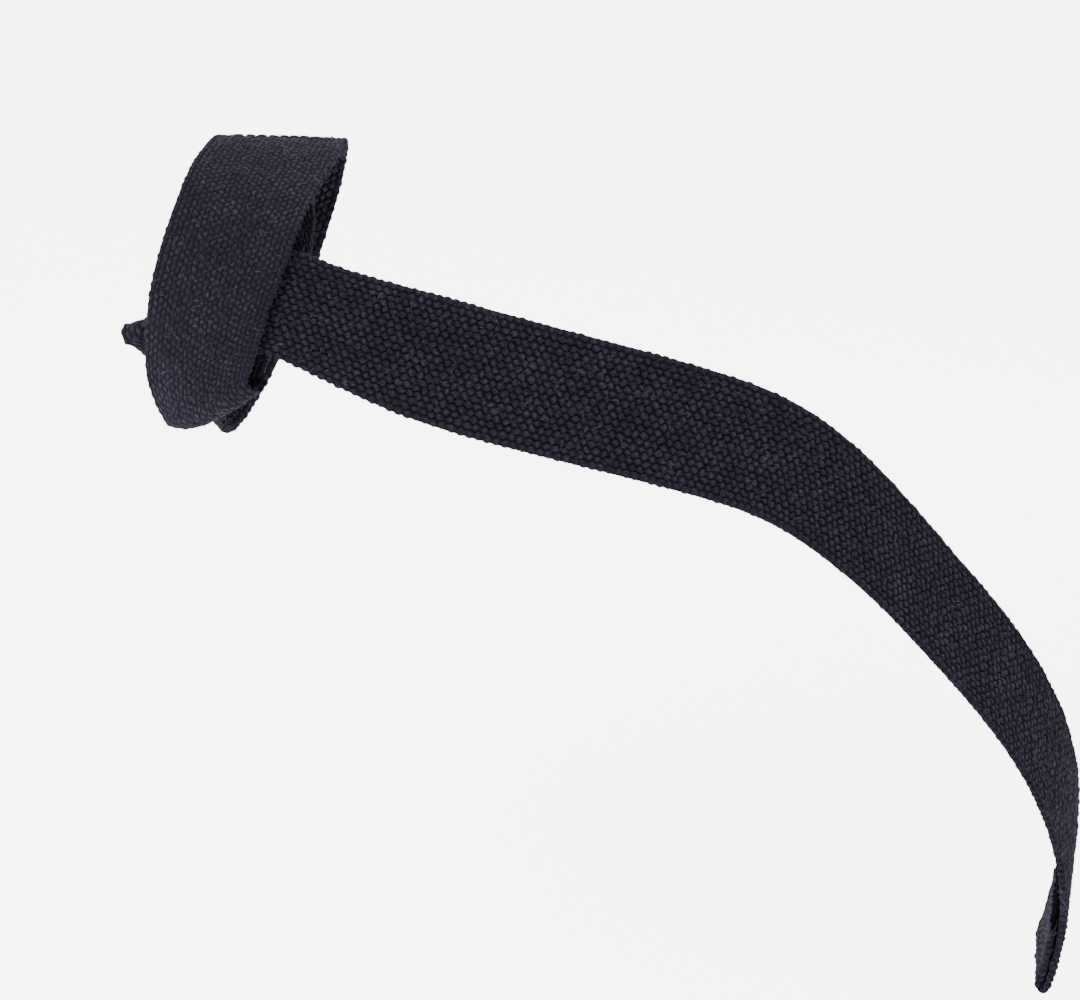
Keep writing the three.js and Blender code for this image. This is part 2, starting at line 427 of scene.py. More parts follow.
# %% Sizes and shares of the yarn's look
BLOTCH_MM = 9
FLECK_MM = 0.8
# Real fibres are a fiftieth of a millimetre thick. The strands drawn are coarser, so they show.
STRAND_LONG, STRAND_THICK = 1.6, 0.3
STRAND_SLANT = rad(24)
FUZZ_HEIGHT = 0.5
MEAN_TONE = 0.34
STRAND_SHARE, BLOTCH_SHARE = 0.5, 0.4
FLECK_SHARE = 1.5
# The second tone is where the painted highlight on the raised yarn is full.
BODY_AT, HIGHLIGHT_AT = 0.5, 0.95
# Sheen and shine are dimmed in the hollows, as painted shade.
BLOOM_ON_KNOBS, BLOOM_EVERYWHERE = 0.14, 0.03
SHINE_ON_KNOBS, SHINE_EVERYWHERE = 0.05, 0.025
BLOOM_TINT = "#6c6082"
print("strands are drawn", STRAND_THICK, "mm thick, blotches", BLOTCH_MM, "mm wide")


# %% The yarn's patterns and its tone
def yarn_patterns(tree):
    """Slanted strands along the yarn, small flecks, and blotches wider than a rib."""
    place = add(tree, "ShaderNodeTexCoord").outputs["Object"]
    weave = add(tree, "ShaderNodeAttribute", {"attribute_name": "weave"}).outputs["Vector"]
    slanted = add(tree, "ShaderNodeMapping", {"vector_type": "TEXTURE"}, Vector=weave,
                  Rotation=(0, 0, STRAND_SLANT), Scale=(STRAND_LONG, STRAND_THICK, 1)).outputs[0]
    strand = add(tree, "ShaderNodeTexNoise", Vector=slanted, Scale=1.0, Detail=3.0, Roughness=0.6)
    fleck = add(tree, "ShaderNodeTexNoise", Vector=place, Scale=1 / (FLECK_MM * MM), Detail=5.0,
                Roughness=0.65)
    blotch = add(tree, "ShaderNodeTexNoise", Vector=place, Scale=1 / (BLOTCH_MM * MM), Detail=3.0)
    return [node.outputs["Fac"] for node in (strand, fleck, blotch)]


def yarn_tone(tree, lift, strand, fleck, blotch, shading_share):
    """Each pattern shifts the tone up or down. The lift paints shade in the hollows and a highlight
    on the raised yarn, and the more it does, the less the flecks do.
    """
    tone = MEAN_TONE
    shares = (shading_share, STRAND_SHARE, FLECK_SHARE - shading_share, BLOTCH_SHARE)
    for pattern, share in zip((lift, strand, fleck, blotch), shares):
        tone = maths(tree, "MULTIPLY_ADD", maths(tree, "SUBTRACT", pattern, 0.5), share, tone)
    return tone


# %% The yarn's material
def cotton_yarn(name, deep, body, painted_highlight, strand_height, shading_share):
    """Matt cotton: painted shade in the hollows, a painted highlight where the lift is high, with
    slanted strands.
    """
    material = bpy.data.materials.new(name)
    material.use_nodes = True
    tree = material.node_tree
    tree.nodes.clear()
    lift = add(tree, "ShaderNodeAttribute", {"attribute_name": "lift"}).outputs["Fac"]
    strand, fleck, blotch = yarn_patterns(tree)
    # Low tones paint shade in the hollows of the weave, high tones paint a highlight on the raised
    # yarn.
    ramp = add(tree, "ShaderNodeValToRGB",
               Fac=yarn_tone(tree, lift, strand, fleck, blotch, shading_share))
    ramp.color_ramp.elements[0].color = linear(deep)
    ramp.color_ramp.elements[1].color = linear(painted_highlight)
    ramp.color_ramp.elements[1].position = HIGHLIGHT_AT
    ramp.color_ramp.elements.new(BODY_AT).color = linear(body)
    bump = add(tree, "ShaderNodeBump", Height=strand, Strength=1.0, Distance=strand_height * MM)
    fuzz = add(tree, "ShaderNodeBump", Height=fleck, Strength=0.9, Distance=FUZZ_HEIGHT * MM,
               Normal=bump.outputs["Normal"])
    # Sheen and shine grow with the lift, so the hollows reflect less: painted shade in the hollows.
    bloom = maths(tree, "MULTIPLY_ADD", lift, BLOOM_ON_KNOBS, BLOOM_EVERYWHERE)
    shine = maths(tree, "MULTIPLY_ADD", lift, SHINE_ON_KNOBS, SHINE_EVERYWHERE)
    shader = add(tree, "ShaderNodeBsdfPrincipled", Base_Color=ramp.outputs["Color"], Roughness=0.95,
                 Sheen_Weight=bloom, Sheen_Roughness=0.5, Sheen_Tint=linear(BLOOM_TINT),
                 Specular_IOR_Level=shine, Normal=fuzz.outputs["Normal"])
    add(tree, "ShaderNodeOutputMaterial", Surface=shader.outputs[0])
    return material


# Colours from painted shade deep in the weave to a painted highlight on the raised yarn, height of
# the strands in mm, share of the painted shading in the tone
coarse_yarn = cotton_yarn("dyed_cotton_warp", "#0d0b10", "#141118", "#322e3a", 0.5, 0.54)
matted_yarn = cotton_yarn("matted_cotton_warp", "#0d0c11", "#19161e", "#3a3541", 0.5, 0.41)
weft = cotton_yarn("dyed_cotton_weft", "#050407", "#110e16", "#2a2633", 0.0, 0.6)
thread = cotton_yarn("sewing_thread", "#0b0a0e", "#24222b", "#413e4a", 0.0, 0.6)
print("materials:", [m.name for m in (coarse_yarn, matted_yarn, weft, thread)])

# %% [markdown]
# ## The body of the webbing
# Under the ribs lies the inside of the weave: a closed band, a little thinner and narrower
# than the finished webbing, with its own two cut ends. It is the piece that counts as the cloth:
# a closed band, a little thinner and narrower than the finished webbing, with its own two cut
# ends. The ribs and edge loops are then laid on it, so nothing can be seen through the gaps.

# %% A closed band round the middle surface
CORE_THICK = 1.5
CORE_WIDTH_SHARE = 0.955
CORE_EDGE_SHARE = 0.55


def core_corners(bm):
    """For each line of the route, a ring of corners: along its outer side, back along its inner."""
    outward = [Vector(v.vector) for v in guide.attributes["outward"].data]
    there = [(j, 1) for j in range(COLUMNS)]
    back = [(j, -1) for j in reversed(range(COLUMNS))]
    for i, line in enumerate(route):
        centre = middle(line)
        for j, side in there + back:
            half = CORE_THICK / 2 * (CORE_EDGE_SHARE if j in (0, COLUMNS - 1) else 1)
            point = centre.lerp(line[j], CORE_WIDTH_SHARE)
            bm.verts.new((point + outward[i * COLUMNS + j] * (side * half)) * MM)
    bm.verts.ensure_lookup_table()


def core_faces(bm):
    ring = 2 * COLUMNS
    last = (len(route) - 1) * ring
    for near in range(0, last, ring):
        for k in range(ring):
            n = (k + 1) % ring
            corners = (near + k, near + ring + k, near + ring + n, near + n)
            bm.faces.new([bm.verts[a] for a in corners])
    for j in range(COLUMNS - 1):
        u = ring - 1 - j
        bm.faces.new([bm.verts[a] for a in (j, j + 1, u - 1, u)])
        bm.faces.new([bm.verts[last + a] for a in (j, u, u - 1, j + 1)])


# %% Helpers that turn a shape into a mesh and an object
def smooth_mesh(name, bm):
    bmesh.ops.recalc_face_normals(bm, faces=bm.faces)
    for face in bm.faces:
        face.smooth = True
    mesh = bpy.data.meshes.new(name)
    bm.to_mesh(mesh)
    bm.free()
    return mesh


def place_piece(name, mesh):
    piece = bpy.data.objects.new(name, mesh)
    bpy.context.collection.objects.link(piece)
    return piece


core_shape = bmesh.new()
core_corners(core_shape)
core_faces(core_shape)
core = place_piece("webbing_core", smooth_mesh("webbing_core", core_shape))
# The core has no lift, so it takes the weft's painted shade of the hollows.
core.data.materials.append(weft)
print("core:", len(core.data.polygons), "faces")

# %% [markdown]
# ## Ribs of the weave
# This webbing is warp-faced: the yarns that run along it cover the thinner ones that cross it.
# Each rib swells and dips as it passes over the crossing yarns, and its neighbours do so half
# a step later, so the swellings lie like bricks. Such a surface could be a bump texture, but
# its edges and its hollows would look flat up close. Here a fine grid is bent into that shape
# by Geometry Nodes and then laid on the webbing by its map.

# %% Sizes of the weave, mm
# The free end shows the coarse face. The webbing has turned over at its folds, so the eye shows
# the other one, which is finer and matted. "quads" is the fineness of the grid across a rib,
# and "cuts" its fineness along one swelling.
COARSE = {"ribs": 19, "quads": 5, "swell": 2.6, "cuts": 5.5, "relief": 0.86, "valley": 0.5}
FINE = {"ribs": 24, "quads": 4, "swell": 2.1, "cuts": 4.5, "relief": 0.55, "valley": 0.75}
FACES = (("front", 1, COARSE, coarse_yarn), ("back", -1, FINE, matted_yarn))
STRETCHES = 3
print("rib spacing:", WIDTH / COARSE["ribs"], "mm on one face,", round(WIDTH / FINE["ribs"], 2),
      "mm on the other")

# %% How uneven the weave is
STRAY = 0.6
BULGE = 0.26
LEAN = 0.4
WANDER = 0.6
RIB_SEED = 3.0
LEAST_LEAN = 0.06
LEAST_HEIGHT, EXTRA_HEIGHT = 0.55, 0.66
# Between two swellings a rib keeps this share of its height.
DIP_SHARE = 0.14
SWELL_ARC = math.pi / 2.02
SWELL_BLUNT = 0.6
DRIFT_PER_MM = 0.16
WANDER_PER_MM = 0.42
WANDER_GAIN = 4.0
# The ribs lie still at the edges and at the two ends.
EDGE_FADE = 0.3
END_FADE = 40.0
RIB_SLACK = 0.0005
# A place exactly on the border of the map, or beyond it, has no point on the cloth.
MAP_EDGE = 0.0005
print("knobs rise", LEAST_HEIGHT, "to", LEAST_HEIGHT + EXTRA_HEIGHT, "of the usual height")


# %% Helpers for trees of Geometry Nodes
def new_tree(name, sockets):
    """A tree with named inputs, each given as its name, its kind and its usual value."""
    tree = bpy.data.node_groups.new(name, "GeometryNodeTree")
    for label, kind, value in [("Geometry", "Geometry", None)] + sockets:
        socket = tree.interface.new_socket(label, in_out="INPUT", socket_type="NodeSocket" + kind)
        if value is not None:
            socket.default_value = value
    tree.interface.new_socket("Geometry", in_out="OUTPUT", socket_type="NodeSocketGeometry")
    return tree, tree.nodes.new("NodeGroupInput").outputs


def finish_tree(tree, geometry, material_socket):
    made = add(tree, "GeometryNodeRealizeInstances", Geometry=geometry).outputs[0]
    made = add(tree, "GeometryNodeSetMaterial", Geometry=made, Material=material_socket).outputs[0]
    tree.links.new(made, tree.nodes.new("NodeGroupOutput").inputs[0])


def own_place(tree):
    """The x, y and z of each point."""
    place = add(tree, "GeometryNodeInputPosition").outputs[0]
    return add(tree, "ShaderNodeSeparateXYZ", Vector=place).outputs


def stored(tree, kind, name):
    return add(tree, "GeometryNodeInputNamedAttribute", {"data_type": kind}, Name=name).outputs[0]


def store(tree, geometry, kind, name, value):
    settings = {"data_type": kind, "domain": "POINT"}
    return add(tree, "GeometryNodeStoreNamedAttribute", settings, Geometry=geometry, Name=name,
               Value=value).outputs[0]


# %% Ask the cloth where a place is
def on_cloth(tree, sheet, u, v, what):
    """What the guide sheet holds at the place u, v: its position, or a named direction."""
    if what == "position":
        value = add(tree, "GeometryNodeInputPosition").outputs[0]
    else:
        value = stored(tree, "FLOAT_VECTOR", what)
    place = add(tree, "ShaderNodeCombineXYZ", X=u, Y=v).outputs[0]
    return add(tree, "GeometryNodeSampleUVSurface", {"data_type": "FLOAT_VECTOR"}, Mesh=sheet,
               Value=value, UV_Map=stored(tree, "FLOAT_VECTOR", "cloth"),
               Sample_UV=place).outputs["Value"]


def raised_from(tree, position, outward, height):
    rise = add(tree, "ShaderNodeVectorMath", {"operation": "SCALE"}, i0=outward, Scale=height)
    return add(tree, "ShaderNodeVectorMath", {"operation": "ADD"}, i0=position,
               i1=rise.outputs[0]).outputs[0]


def kept_on_map(tree, value):
    return maths(tree, "MAXIMUM", maths(tree, "MINIMUM", value, 1 - MAP_EDGE), MAP_EDGE)


# %% The height of the weave
def place_in_rib(tree, given, along_mm, v, weave):
    """Number of the rib, place across it from -1 to 1, and the beat that counts its swellings."""
    calc = partial(maths, tree)
    across = calc("MULTIPLY", v, given["Ribs"])
    last_rib = calc("SUBTRACT", given["Ribs"], 2 * RIB_SLACK)
    rib = calc("FLOOR", calc("MINIMUM", calc("ADD", across, RIB_SLACK), last_rib))
    off_middle = calc("MULTIPLY_ADD", calc("SUBTRACT", across, rib), 2.0, -1.0)
    half_step = calc("MULTIPLY", calc("MODULO", rib, 2.0), 0.5)
    drift = add(tree, "ShaderNodeTexNoise", Vector=weave, Scale=DRIFT_PER_MM, Detail=2.0)
    drift = calc("MULTIPLY", calc("SUBTRACT", drift.outputs["Fac"], 0.5), given["Stray"])
    beat = calc("ADD", calc("ADD", calc("DIVIDE", along_mm, given["Swell"]), half_step), drift)
    return rib, off_middle, beat


def knob_height(tree, given, rib, off_middle, beat):
    """Lift from 0 to 1, and the height in metres. Each knob leans and rises by its own chance."""
    calc = partial(maths, tree)
    knob = add(tree, "ShaderNodeCombineXYZ", X=rib, Y=calc("FLOOR", beat), Z=given["Seed"])
    chance = add(tree, "ShaderNodeTexWhiteNoise", {"noise_dimensions": "3D"},
                 Vector=knob.outputs[0])
    chance = add(tree, "ShaderNodeSeparateXYZ", Vector=chance.outputs["Color"]).outputs
    from_middle = calc("MULTIPLY_ADD", calc("FRACT", beat), 2.0, -1.0)
    lean = calc("MULTIPLY_ADD", chance["X"], given["Lean"], LEAST_LEAN)
    inside_rib = calc("SUBTRACT", 1.0, calc("MULTIPLY", off_middle, off_middle))
    crest = calc("MULTIPLY", calc("MULTIPLY", from_middle, lean), inside_rib)
    leaning = calc("ADD", off_middle, crest)
    falling = calc("SUBTRACT", 1.0, calc("MULTIPLY", leaning, leaning))
    round_top = calc("SQRT", calc("MAXIMUM", falling, 0.0))
    arc = calc("COSINE", calc("MULTIPLY", from_middle, SWELL_ARC))
    swelling = calc("POWER", arc, SWELL_BLUNT)
    lift = calc("MULTIPLY", round_top, calc("MULTIPLY_ADD", swelling, 1 - DIP_SHARE, DIP_SHARE))
    uneven = calc("MULTIPLY_ADD", chance["Y"], EXTRA_HEIGHT, LEAST_HEIGHT)
    height = calc("MULTIPLY", lift, uneven)
    height = calc("MULTIPLY_ADD", height, given["Relief"], given["Valley"])
    return lift, calc("MULTIPLY", calc("MULTIPLY", height, given["Side"]), MM)


# %% How the ribs wander on the map
def bent_place(tree, given, u, v, weave, off_middle, beat):
    """u and v after each swelling has pushed its neighbours and the yarn has wandered a little."""
    calc = partial(maths, tree)
    inner = calc("SINE", calc("MULTIPLY", v, math.pi))
    edge_free = calc("POWER", calc("MAXIMUM", inner, 0.0), EDGE_FADE)
    widening = calc("COSINE", calc("MULTIPLY", beat, 2 * math.pi))
    bulge = calc("DIVIDE", calc("MULTIPLY", given["Bulge"], edge_free), given["Ribs"])
    push = calc("MULTIPLY", calc("MULTIPLY", widening, off_middle), bulge)
    wander = add(tree, "ShaderNodeTexNoise", Vector=weave, Scale=WANDER_PER_MM, Detail=2.0)
    wander = add(tree, "ShaderNodeSeparateXYZ", Vector=wander.outputs["Color"]).outputs
    room = calc("MULTIPLY", given["Wander"], edge_free)
    strays = [calc("MULTIPLY", calc("SUBTRACT", wander[k], 0.5), WANDER_GAIN) for k in ("X", "Y")]
    along, across = (calc("MULTIPLY", stray, room) for stray in strays)
    inside_ends = calc("SINE", calc("MULTIPLY", u, math.pi))
    end_free = calc("MINIMUM", calc("MULTIPLY", inside_ends, END_FADE), 1.0)
    u_shift = calc("MULTIPLY", calc("DIVIDE", along, given["Length"]), end_free)
    v_shift = calc("DIVIDE", across, float(WIDTH))
    return calc("ADD", u, u_shift), calc("ADD", calc("SUBTRACT", v, push), v_shift)


# %% The tree that lays ribs on a stretch
RIB_INPUTS = [
    ("Start", "Float", 0.0),
    ("End", "Float", 1.0),
    ("Side", "Float", 1.0),
    ("Length", "Float", LENGTH),
    ("Cuts", "Int", 600),
    ("Lines", "Int", 96),
    ("Ribs", "Float", float(COARSE["ribs"])),
    ("Swell", "Float", COARSE["swell"]),
    ("Relief", "Float", COARSE["relief"]),
    ("Valley", "Float", COARSE["valley"]),
    ("Stray", "Float", STRAY),
    ("Bulge", "Float", BULGE),
    ("Lean", "Float", LEAN),
    ("Wander", "Float", WANDER),
    ("Seed", "Float", RIB_SEED),
    ("Material", "Material", None),
]


def rib_tree():
    tree, given = new_tree("warp_ribs", RIB_INPUTS)
    calc = partial(maths, tree)
    grid = add(tree, "GeometryNodeMeshGrid", Size_X=1.0, Size_Y=1.0, Vertices_X=given["Cuts"],
               Vertices_Y=given["Lines"]).outputs["Mesh"]
    spot = own_place(tree)
    reach = calc("SUBTRACT", given["End"], given["Start"])
    u = calc("MULTIPLY_ADD", calc("ADD", spot["X"], 0.5), reach, given["Start"])
    v = calc("ADD", spot["Y"], 0.5)
    along_mm = calc("MULTIPLY", u, given["Length"])
    across_mm = calc("MULTIPLY", v, float(WIDTH))
    weave = add(tree, "ShaderNodeCombineXYZ", X=along_mm, Y=across_mm, Z=given["Seed"]).outputs[0]
    rib, off_middle, beat = place_in_rib(tree, given, along_mm, v, weave)
    lift, height = knob_height(tree, given, rib, off_middle, beat)
    bent = bent_place(tree, given, u, v, weave, off_middle, beat)

    sheet = given["Geometry"]
    position = on_cloth(tree, sheet, *(kept_on_map(tree, value) for value in bent), "position")
    outward = on_cloth(tree, sheet, *(kept_on_map(tree, value) for value in (u, v)), "outward")
    cloth = store(tree, grid, "FLOAT", "lift", lift)
    cloth = store(tree, cloth, "FLOAT_VECTOR", "weave", weave)
    cloth = add(tree, "GeometryNodeSetPosition", Geometry=cloth,
                Position=raised_from(tree, position, outward, height)).outputs[0]
    cloth = add(tree, "GeometryNodeSetShadeSmooth", Geometry=cloth).outputs[0]
    behind = add(tree, "FunctionNodeCompare", {"data_type": "FLOAT", "operation": "LESS_THAN"},
                 A=given["Side"], B=0.0).outputs[0]
    cloth = add(tree, "GeometryNodeFlipFaces", Mesh=cloth, Selection=behind).outputs[0]
    finish_tree(tree, cloth, given["Material"])
    return tree


ribs = rib_tree()
print("the rib tree has", len(ribs.nodes), "nodes and", len(RIB_INPUTS), "named inputs")


# %% Make a plain mesh from a tree
def make(name, tree, values):
    """Runs a tree on a copy of the guide sheet, and keeps its result as a plain mesh."""
    carrier = place_piece(name + "_carrier", guide.copy())
    modifier = carrier.modifiers.new("maker", "NODES")
    modifier.node_group = tree
    sockets = [s for s in tree.interface.items_tree if s.in_out == "INPUT"]
    identifiers = {s.name: s.identifier for s in sockets}
    for label, value in values.items():
        modifier[identifiers[label]] = value
    evaluated = carrier.evaluated_get(bpy.context.evaluated_depsgraph_get())
    mesh = bpy.data.meshes.new_from_object(evaluated)
    mesh.name = name
    bpy.data.objects.remove(carrier)
    print(name, len(mesh.polygons), "faces")
    return place_piece(name, mesh)


# %% Ribs on both faces, in stretches that stay small enough to handle
def ribs_on(face_name, side, face, yarn, n):
    swellings = LENGTH / STRETCHES / face["swell"]
    return make(f"warp_ribs_{face_name}_{n + 1}", ribs, {
        "Start": n / STRETCHES,
        "End": (n + 1) / STRETCHES,
        "Side": float(side),
        "Length": LENGTH,
        "Cuts": round(swellings * face["cuts"]) + 1,
        "Lines": face["ribs"] * face["quads"] + 1,
        "Ribs": float(face["ribs"]),
        "Swell": face["swell"],
        "Relief": face["relief"],
        "Valley": face["valley"],
        "Stray": STRAY,
        "Bulge": BULGE,
        "Lean": LEAN,
        "Wander": WANDER,
        "Seed": RIB_SEED + side,
        "Material": yarn,
    })


rib_pieces = [ribs_on(*face, n) for face in FACES for n in range(STRETCHES)]

# %% [markdown]
# ## Selvages
# At each edge the crossing yarn turns round the last rib and goes back. Those turns are what
# makes the edge look scalloped. One small rounded turn is modelled once, and Geometry Nodes
# puts a copy at each step of the weave along both edges, square to the edge there.

# %% Small copies are marked as raised yarn, so that they get no painted shade of a hollow
COPY_LIFT = 0.75


def raised_all_over(mesh):
    lift = mesh.attributes.new("lift", "FLOAT", "POINT")
    for value in lift.data:
        value.value = COPY_LIFT
    return mesh


def shaped_ball(name, segments, rings, radius, shape):
    """A ball whose corners are moved by a function of x, y and z that gives millimetres."""
    bm = bmesh.new()
    bmesh.ops.create_uvsphere(bm, u_segments=segments, v_segments=rings, radius=radius)
    for vertex in bm.verts:
        vertex.co = Vector(shape(*vertex.co)) * MM
    return raised_all_over(smooth_mesh(name, bm))


# %% One turn of the weft
TURN_ALONG, TURN_ACROSS, TURN_DEEP = 1.25, 0.95, 1.05
TURN_SQUARE = 0.12


def turn_shape(x, y, z):
    square = 1 + TURN_SQUARE * (1 - abs(x))
    return x * TURN_ACROSS, y * TURN_ALONG, z * TURN_DEEP * square


weft_turn = shaped_ball("weft_turn", segments=10, rings=7, radius=1.0, shape=turn_shape)
print("one turn of the weft:", len(weft_turn.polygons), "faces")


# %% The tree that lays copies on the cloth
def follow_tree():
    """Copies of an object at points whose x is u and whose y is v, square to the cloth there."""
    tree, given = new_tree("copies_on_cloth", [
        ("Copy", "Object", None),
        ("Points", "Object", None),
        ("Uneven", "Float", 0.15),
        ("Seed", "Int", 5),
        ("Material", "Material", None),
    ])
    points = add(tree, "GeometryNodeObjectInfo", Object=given["Points"]).outputs["Geometry"]
    copy = add(tree, "GeometryNodeObjectInfo", Object=given["Copy"]).outputs["Geometry"]
    spot = own_place(tree)
    position, outward, sideways = (on_cloth(tree, given["Geometry"], spot["X"], spot["Y"], what)
                                   for what in ("position", "outward", "sideways"))
    square = add(tree, "FunctionNodeAxesToRotation", {"primary_axis": "Z", "secondary_axis": "X"},
                 Primary_Axis=outward, Secondary_Axis=sideways).outputs[0]
    own_turn = add(tree, "FunctionNodeAxisAngleToRotation", Axis=(0, 0, 1),
                   Angle=stored(tree, "FLOAT", "angle")).outputs[0]
    facing = add(tree, "FunctionNodeRotateRotation", {"rotation_space": "LOCAL"}, Rotation=square,
                 Rotate_By=own_turn).outputs[0]
    # The facing is kept before the points move, since their old place is what gives it.
    spots = store(tree, points, "QUATERNION", "facing", facing)
    spots = add(tree, "GeometryNodeSetPosition", Geometry=spots,
                Position=raised_from(tree, position, outward, spot["Z"])).outputs[0]
    chance = add(tree, "FunctionNodeRandomValue", {"data_type": "FLOAT"}, i2=-1.0, i3=1.0,
                 Seed=given["Seed"]).outputs[1]
    scale = maths(tree, "MULTIPLY_ADD", chance, given["Uneven"], 1.0)
    copies = add(tree, "GeometryNodeInstanceOnPoints", Points=spots, Instance=copy,
                 Rotation=stored(tree, "QUATERNION", "facing"), Scale=scale).outputs[0]
    finish_tree(tree, copies, given["Material"])
    return tree


follow = follow_tree()
print("the copying tree has", len(follow.nodes), "nodes")


# %% Points on the cloth, as u, v and height
def cloth_points(name, spots):
    """A cloud of points, one for each (mm along, share across, mm above the middle, angle)."""
    mesh = bpy.data.meshes.new(name)
    mesh.from_pydata([(along / LENGTH, v, height * MM) for along, v, height, _ in spots], [], [])
    angles = mesh.attributes.new("angle", "FLOAT", "POINT")
    for value, spot in zip(angles.data, spots):
        value.value = spot[3]
    return place_piece(name, mesh)


def lay_copies(name, copy_mesh, spots, material, uneven, seed):
    points = cloth_points(name + "_points", spots)
    copy = place_piece(name + "_copy", copy_mesh)
    values = {"Copy": copy, "Points": points, "Uneven": uneven, "Seed": seed, "Material": material}
    piece = make(name, follow, values)
    bpy.data.objects.remove(points)
    bpy.data.objects.remove(copy)
    return piece


# %% Turns along both edges, half a step apart
EDGE = 0.016
SWELL = COARSE["swell"]
turn_spots = []
for v, shift in ((EDGE, 0.5), (1 - EDGE, 1.0)):
    turn_spots += [((k + shift) * SWELL, v, 0.0, 0.0) for k in range(int(LENGTH / SWELL) - 1)]
selvages = lay_copies("selvage_turns", weft_turn, turn_spots, weft, uneven=0.2, seed=5)

# %% [markdown]
# ## Sewing
# The hem at the free end and the seam that closes the eye are sewn with dark thread. A
# lockstitch shows as short rounded bars with small gaps, sunk a little between the ribs. One
# bar is modelled and laid along straight rows in u and v. The hem has two rows on each of its
# outer faces, and the seam is a box with a cross in it.

# %% One stitch and the rows that it repeats on
STITCH_LONG, STITCH_THICK, STITCH_STEP = 2.6, 0.55, 3.4
STITCH_RISE = 1.42


def stitch_shape(x, y, z):
    return z * STITCH_LONG, y * STITCH_THICK, x * STITCH_THICK


def sewn_row(start, end, rise):
    """Stitches on a straight row between two places (mm along, share across)."""
    along, across = end[0] - start[0], end[1] - start[1]
    length = math.hypot(along, across * WIDTH)
    count = max(1, round(length / STITCH_STEP))
    angle = math.atan2(-along, across * WIDTH)
    shares = [(k + 0.5) / count for k in range(count)]
    return [(start[0] + along * s, start[1] + across * s, rise, angle) for s in shares]


stitch_bar = shaped_ball("stitch_bar", segments=8, rings=6, radius=0.5, shape=stitch_shape)
print("a row right across takes", len(sewn_row((0, 0), (0, 1), STITCH_RISE)), "stitches")

# %% Two rows on each side of the hem
HEM_ROWS = (4.5, 24.5)
HEM_MARGIN = 0.07
stitch_spots = []
for from_fold in HEM_ROWS:
    for place in (places[tail_end] - from_fold, LENGTH - HEM_LENGTH + from_fold):
        stitch_spots += sewn_row((place, HEM_MARGIN), (place, 1 - HEM_MARGIN), STITCH_RISE)
print("hem:", len(stitch_spots), "stitches")

# %% The box and cross that close the eye
SEAM_MARGIN = 0.12
SEAM_TABLE_ROWS = (8, 9)
SEAM_INSET = (2, 4)
OVERLAP = (2.5, 15)


def sewn_box(start, end, rise):
    low, high = SEAM_MARGIN, 1 - SEAM_MARGIN
    corners = [(start, low), (end, low), (end, high), (start, high)]
    strokes = list(zip(corners, corners[1:] + corners[:1]))
    strokes += [(corners[0], corners[2]), (corners[3], corners[1])]
    return [stitch for a, b in strokes for stitch in sewn_row(a, b, rise)]


first_row, last_row = (places[loop_start + loop_rows[row]] for row in SEAM_TABLE_ROWS)
seam = (first_row + SEAM_INSET[0], last_row - SEAM_INSET[1])
for start, end, rise in ((*seam, -STITCH_RISE), (*seam, STITCH_RISE),
                         (*OVERLAP, STITCH_RISE), (*OVERLAP, -STITCH_RISE)):
    stitch_spots += sewn_box(start, end, rise)
stitches = lay_copies("sewing_stitches", stitch_bar, stitch_spots, thread, uneven=0.06, seed=7)

# %% [markdown]
# ## Loose fibres
# Spun cotton is never bald. Short fibres stand out of the yarn and show against the light at
# the edges. Some thousands of thin bent rods are enough: more would look like fur. They are
# scattered over both faces from one fixed seed and turned at random.

# %% One fibre
# Thicker than real cotton, which would be too fine to be seen.
FIBRE_LONG, FIBRE_THICK = 1.9, 0.045
FIBRE_BEND, FIBRE_TAPER = 0.6, 0.6
FIBRE_JOINTS = 3
FIBRE_SIDES = (0.5, 2.6, 4.7)


def fibre_ring(share):
    """Three corners round the fibre at a share of its length."""
    x = FIBRE_LONG * share
    z = FIBRE_BEND * math.sin((share - 0.5) * math.pi)
    thin = FIBRE_THICK * (1 - FIBRE_TAPER * share)
    return [Vector((x, thin * math.cos(a), z + thin * math.sin(a))) * MM for a in FIBRE_SIDES]


def bent_fibre():
    corners, faces = [], []
    for k in range(FIBRE_JOINTS + 1):
        corners += fibre_ring(k / FIBRE_JOINTS)
    for k in range(0, 3 * FIBRE_JOINTS, 3):
        faces += [(k + a, k + b, k + 3 + b, k + 3 + a) for a, b in ((0, 1), (1, 2), (2, 0))]
    last = 3 * FIBRE_JOINTS
    faces += [(2, 1, 0), (last, last + 1, last + 2)]
    mesh = bpy.data.meshes.new("bent_fibre")
    mesh.from_pydata(corners, [], faces)
    return raised_all_over(mesh)


fibre = bent_fibre()
print("one fibre:", len(fibre.polygons), "faces")

# %% Fibres scattered over the cloth and its edges
FIBRE_COUNT = 7500
EDGE_FIBRES = 0.22
EDGE_PLACES = (0.004, 0.996)
EDGE_HEIGHT = 0.8
FACE_PLACES = (0.02, 0.98)
FACE_HEIGHTS = (-1.25, 1.25)
END_MARGIN = 2
SCATTER_SEED = 11

scatter = random.Random(SCATTER_SEED)
fibre_spots = []
for _ in range(FIBRE_COUNT):
    at_edge = scatter.random() < EDGE_FIBRES
    v = scatter.choice(EDGE_PLACES) if at_edge else scatter.uniform(*FACE_PLACES)
    height = scatter.uniform(-EDGE_HEIGHT, EDGE_HEIGHT) if at_edge else scatter.choice(FACE_HEIGHTS)
    along = scatter.uniform(END_MARGIN, LENGTH - END_MARGIN)
    fibre_spots.append((along, v, height, scatter.uniform(0, 2 * math.pi)))
fluff = cotton_yarn("loose_cotton_fibre", "#1f1c24", "#443f4c", "#7c7586", 0.0, 0.5)
fibres = lay_copies("loose_fibres", fibre, fibre_spots, fluff, uneven=0.5, seed=13)

# %% [markdown]
# The core stands for the CAD solid. Everything else goes with it.

